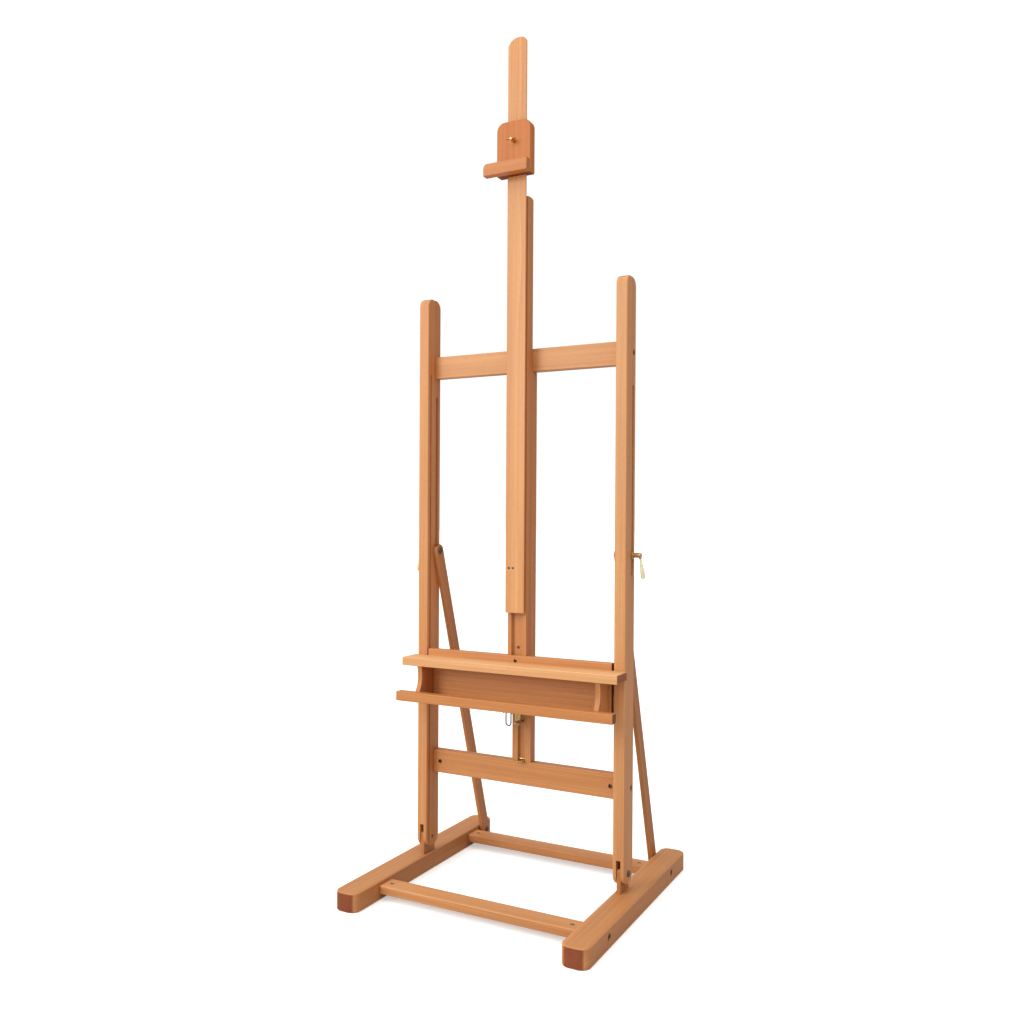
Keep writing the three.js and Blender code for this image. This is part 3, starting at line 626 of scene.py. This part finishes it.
# ---------------------------------------------------------------- wood screws
def cross_head(origin, radius, height, shank, length, at):
    """A screw whose head rises as a shallow dome (height times 1 minus the square of the share of the radius) and has
    a recess 1 mm deep shaped as a cross. at is the direction the head faces."""
    deep, arm_half, wall = 1.0, 0.42, 0.16
    rows = [(-length, 0), (-length + 2.0, shank * 0.6), (-length + 4.0, shank), (-height * 0.9, shank), (0, radius)]
    rows += [(height * (1 - (r / radius) ** 2), r) for r in np.linspace(radius * 0.97, radius * 0.05, 18)]
    rows += [(height - deep, 0)]
    def cross(x, y, k):
        arm = np.clip((arm_half - np.minimum(np.abs(x), np.abs(y))) / wall, 0, 1)
        inside = np.clip((radius * 0.66 - np.hypot(x, y)) / (radius * 0.16), 0, 1)
        return np.where(k > 3, arm * inside * deep, 0.0)
    return turned(rows, origin, at, 56, cross)


for node, radius, height in (("column_floor_screw", 3.5, 0.9), ("mast_screw_left", 2.9, 0.3),
                             ("mast_screw_right", 2.9, 0.3), ("board_screw", 3.6, 0.6)):
    low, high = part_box(node)
    x, _, z = middle(node)
    face = low.y + height * MM
    length = min((high.y - face) / MM, 12.0)
    hardware(node + "_turned", cross_head((x, face, z), radius, height, 1.4, length, (0, -1, 0)), node,
             STEEL, "steel", node)

# ---------------------------------------------------------------- clamps
LEVER_SPLAY = 0.16   # how far the lever stands out from the post (radians)
for name, side in SIDES:
    x = outer_face(f"post_{name}", side)
    _, y, z = middle(f"clamp_shank_{name}")
    nut = f"clamp_nut_{name}"
    barrel = softened([(12.6, 0), (12.6, 4.06), (0.3, 4.06), (0.3, 8.5), (1.8, 8.5), (1.8, 5.5), (6.0, 5.5), (6.5, 5.0),
                       (7.2, 5.0), (7.7, 5.5), (20, 5.5), (22, 4.4), (22, 0)], 0.35)
    hardware(nut + "_turned", turned(barrel, (x, y, z), (side, 0, 0), 44), nut, BRASS, "brass", nut)
    lever = f"clamp_lever_{name}"
    way = (side * math.sin(LEVER_SPLAY), 0, -math.cos(LEVER_SPLAY))
    hub = (x + side * 18.5 * MM, y, z)
    along = np.linspace(6.0, 50.6, 30)
    swell = 2.2 + 2.5 * np.clip((along - 8.0) / 30.0, 0, 1) ** 1.15 + 0.12 * np.sin((along - 6.0) / 44.6 * np.pi)
    rows = [(5.9, 0), *zip(along, swell), (51.5, 4.2), (52.0, 2.6), (52.0, 0)]
    hardware(lever + "_turned", turned(rows, hub, way, 36), lever, HORN, "horn", lever)
    collar = softened([(5.2, 0), (5.2, 2.9), (8.0, 2.7), (8.6, 2.3), (8.6, 0)], 0.3)
    hardware(f"clamp_collar_{name}", turned(collar, hub, way, 32), nut, BRASS, "brass")
    tip = softened([(51.0, 0), (51.0, 1.9), (52.5, 1.9), (52.9, 1.2), (52.9, 0)], 0.2)
    hardware(f"clamp_tip_{name}", turned(tip, hub, way, 28), nut, STEEL, "steel")

# ---------------------------------------------------------------- column fittings
eased("column_latch_plate", BRASS, "brass", outer=0.5, inner=0.2, steps=2)
eased("column_stop_angle", BRASS, "brass", outer=0.5, inner=0.2, steps=2)
plate_low, plate_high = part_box("column_latch_plate")
for label, z in (("upper", 461.0), ("lower", 441.0)):
    hardware(f"latch_plate_screw_{label}", cross_head((0, plate_low.y, z * MM), 2.8, 0.9, 1.2, 5.0, (0, -1, 0)),
             "column_latch_plate", STEEL, "steel")
low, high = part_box("column_latch_knob")
floor_y = low.y + 14 * MM
knob = softened([(14, 0), (13.6, 2.8), (11.5, 5.0), (8.5, 5.8), (5.6, 4.9), (4, 3.1), (2.7, 3.1), (2.7, 2.4),
                 (-25.1, 2.4), (-25.6, 1.8), (-25.6, 0)], 0.6, 4)
hardware("column_latch_knob_turned", turned(knob, (0, floor_y, middle("column_latch_knob")[2]), (0, -1, 0), 44),
         "column_latch_knob", BRASS, "brass", "column_latch_knob")

# ---------------------------------------------------------------- tray bail
eased("bail_bracket", BRASS, "brass", outer=0.4, inner=0.15, steps=2)
WIRE = 1.5           # radius of the wire
LOOP = 6.5           # radius of the half circle at the bail's foot
low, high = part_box("tray_bail")
pivot_y = middle("bail_bracket")[1] / MM
pivot_z = high.z / MM - WIRE
reach_x = (high.x - low.x) / 2 / MM
drop = pivot_z - low.z / MM - WIRE - LOOP


def bail_path():
    """Straight end, quarter turn down, leg, half circle, and the same back again; in millimetres across and down."""
    r = 2.4
    q = np.linspace(0, np.pi / 2, 7)
    ends = np.stack([np.linspace(-reach_x, -LOOP - r, 5), np.zeros(5)], 1)
    corner = np.stack([-LOOP - r + r * np.sin(q), -r + r * np.cos(q)], 1)
    leg = np.stack([np.full(9, -LOOP), np.linspace(-r, -drop, 9)], 1)
    h = np.linspace(np.pi, 2 * np.pi, 25)
    loop = np.stack([LOOP * np.cos(h), -drop + LOOP * np.sin(h)], 1)
    start = np.vstack([ends[:-1], corner[:-1], leg[:-1]])
    whole = np.vstack([start, loop, (start * (-1, 1))[::-1]])
    return np.stack([whole[:, 0], np.full(len(whole), pivot_y), pivot_z + whole[:, 1]], 1) * MM


hardware("tray_bail_bent", swept(bail_path(), WIRE * MM, (0, 1, 0)), "tray_bail", BRONZE, "steel", "tray_bail")

# ---------------------------------------------------------------- top holder's thumb screw
WING_SPAN = 13.0     # from the screw's axis to a wing's tip
WING_OUT = 15.4      # from the block's face to the middle of the wings
face_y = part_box("top_holder_block")[0].y
screw_z = middle("holder_thumb_screw")[2]
stem = softened([(18.2, 0), (18.0, 2.8), (16.6, 3.7), (13.0, 3.9), (1.4, 4.5), (0.4, 4.5), (0.4, 3.15),
                 (-13.2, 3.15), (-13.2, 0)], 0.4)
hardware("holder_thumb_stem", turned(stem, (0, face_y, screw_z), (0, -1, 0), 40), "holder_thumb_screw", BRASS,
         "brass", "holder_thumb_screw")


def wings():
    """A pair of wings: across runs from tip to tip and around goes about the section. Each section is a flattened
    oval whose height and thickness follow across, waisted at the middle and rounded at the tips."""
    across = np.sin(np.linspace(-np.pi / 2, np.pi / 2, 42))
    around = 2 * np.pi * np.arange(24) / 24
    x = across[1:-1] * WING_SPAN
    edge = np.sqrt(np.clip(1 - across[1:-1] ** 4, 0, 1))
    tall = 4.1 * edge * (0.72 + 0.28 * np.abs(across[1:-1]) ** 1.5)
    thick = 1.35 * edge ** 0.6
    y = face_y / MM - WING_OUT - 0.7 * np.abs(across[1:-1])[:, None] + tall[:, None] * np.cos(around)
    z = screw_z / MM + thick[:, None] * np.sin(around)
    rings = np.stack([x[:, None] + np.zeros_like(y), y, z], -1)
    count, sides = len(x), len(around)
    tip_x, tip_y = WING_SPAN + 0.05, face_y / MM - WING_OUT - 0.7
    points = np.vstack([rings.reshape(-1, 3), [-tip_x, tip_y, screw_z / MM], [tip_x, tip_y, screw_z / MM]])
    return points * MM, ring_faces(count, sides)


hardware("holder_thumb_wings", wings(), "holder_thumb_screw", BRASS, "brass")

# ---------------------------------------------------------------- floor, light and camera
floor_mesh = bpy.data.meshes.new("studio_floor")
floor_mesh.from_pydata([(-60, -60, 0), (60, -60, 0), (60, 60, 0), (-60, 60, 0)], [], [(0, 1, 2, 3)])
floor = linked("studio_floor", floor_mesh)
floor.location.z = -0.0002
pale, web, surface = new_material("pale_floor")
looked_at = web.node("ShaderNodeLightPath").outputs["Is Camera Ray"]
web.feed(surface["Base Color"], web.mix(looked_at, rgb(0.55, 0.54, 0.53), rgb(0.9, 0.9, 0.9)))
web.feed(surface["Emission Color"], web.mix(looked_at, rgb(0, 0, 0), rgb(1, 1, 1)))
surface["Roughness"].default_value = 0.9
surface["Specular IOR Level"].default_value = 0.1
surface["Emission Strength"].default_value = 0.42
floor_mesh.materials.append(pale)

# A soft room: bright from the front left and above, weaker on the right, white where it is seen.
world = bpy.data.worlds.new("soft_room")
bpy.context.scene.world = world
world.use_nodes = True
world.node_tree.nodes.clear()
web = Web(world.node_tree)
way = web.node("ShaderNodeTexCoord").outputs["Generated"]
front = np.array([-0.36, -0.44, 0.82])
front = tuple(front / np.linalg.norm(front))
DIM, BRIGHT = 0.42, 1.45
glow = web.between(web.vector("DOT_PRODUCT", way, front), 0.0, 1.0, DIM, BRIGHT)
lit = web.node("ShaderNodeBackground", {"Color": rgb(1.0, 0.985, 0.965), "Strength": glow}).outputs[0]
plain = web.node("ShaderNodeBackground", {"Color": rgb(1, 1, 1), "Strength": 1.05}).outputs[0]
seen = web.node("ShaderNodeMixShader", {0: web.node("ShaderNodeLightPath").outputs["Is Camera Ray"], 1: lit, 2: plain})
web.feed(web.node("ShaderNodeOutputWorld").inputs["Surface"], seen.outputs[0])


def set_square(right, up, back):
    """The turn that brings X, Y and Z to the three directions."""
    return Matrix(np.stack([right, up, back], 1).tolist()).to_euler()


def lamp(name, place, aim, wide, tall, power):
    """A softbox at a place (m) that faces aim, wide by tall, with its power in watts."""
    data = bpy.data.lights.new(name, "AREA")
    data.shape, data.size, data.size_y, data.energy = "RECTANGLE", wide, tall, power
    made = linked(name, data)
    made.location = place
    back = np.array(place, float) - np.array(aim, float)
    back /= np.linalg.norm(back)
    right = np.cross((0, 0, 1), back)
    right /= np.linalg.norm(right)
    made.rotation_euler = set_square(right, np.cross(back, right), back)


lamp("tall_softbox", (-1.35, -2.75, 2.05), (0, 0, 1.35), 1.2, 1.9, 40)
lamp("right_fill", (2.7, -0.5, 2.5), (0, 0, 1.7), 1.4, 1.4, 11)

YAW, PITCH, ROLL = 27.94, -0.46, 0.32   # degrees to the left, up and over
camera = bpy.data.cameras.new("camera")
viewer = linked("camera", camera)
yaw, pitch, roll = (math.radians(a) for a in (YAW, PITCH, ROLL))
ahead = np.array([-math.sin(yaw) * math.cos(pitch), math.cos(yaw) * math.cos(pitch), math.sin(pitch)])
level_right = np.array([math.cos(yaw), math.sin(yaw), 0.0])
level_up = np.cross(level_right, ahead)
right = level_right * math.cos(roll) + level_up * math.sin(roll)
up = -level_right * math.sin(roll) + level_up * math.cos(roll)
viewer.location = (1.02527, -1.99167, 0.88052)
viewer.rotation_euler = set_square(right, up, -ahead)
camera.sensor_width = 36.0
camera.lens = 33.06
camera.shift_x, camera.shift_y = 0.0017, 0.01405
camera.clip_start, camera.clip_end = 0.05, 200.0
bpy.context.scene.camera = viewer
bpy.context.scene.view_settings.view_transform = "Standard"
